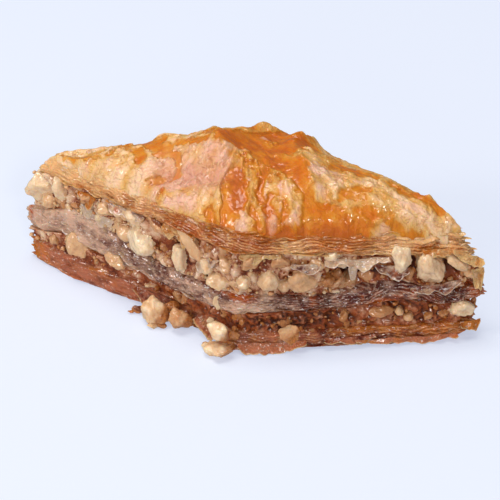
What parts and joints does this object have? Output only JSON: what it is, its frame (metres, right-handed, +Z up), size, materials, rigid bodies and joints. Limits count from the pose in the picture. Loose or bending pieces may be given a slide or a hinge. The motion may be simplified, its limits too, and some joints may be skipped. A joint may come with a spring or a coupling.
{
  "type": "baklava piece",
  "caption": "Diamond-cut piece of baklava: puffed, syrup-glazed filo crust over chopped nuts and soaked filo.",
  "frame": {"origin": "middle of the footprint's box, on the surface that the piece rests on", "axes": "+Z up; +X along the long diagonal of the diamond; the blunt front corner is on the -Y side"},
  "size_m": [0.0846, 0.0416, 0.0331],
  "materials": {
    "crust": "golden baked filo under a glossy syrup glaze",
    "soaked_filo": "grey-beige filo soaked in syrup, moist sheen",
    "base_filo": "dark red-brown syrup-soaked filo, moist sheen",
    "nut": "cream chopped nut flesh, dull, with a few brown skins"
  },
  "bodies": {
    "root": {"filo_base": "base_filo", "nuts_lower": "nut", "filo_middle": "soaked_filo", "nuts_upper": "nut", "filo_crust": "crust", "nut_chunk_left": "nut", "nut_chunk_left_small": "nut", "nut_chunk_corner": "nut", "nut_chunk_corner_top": "nut", "nut_flake_right": "nut"}
  },
  "joints": []
}
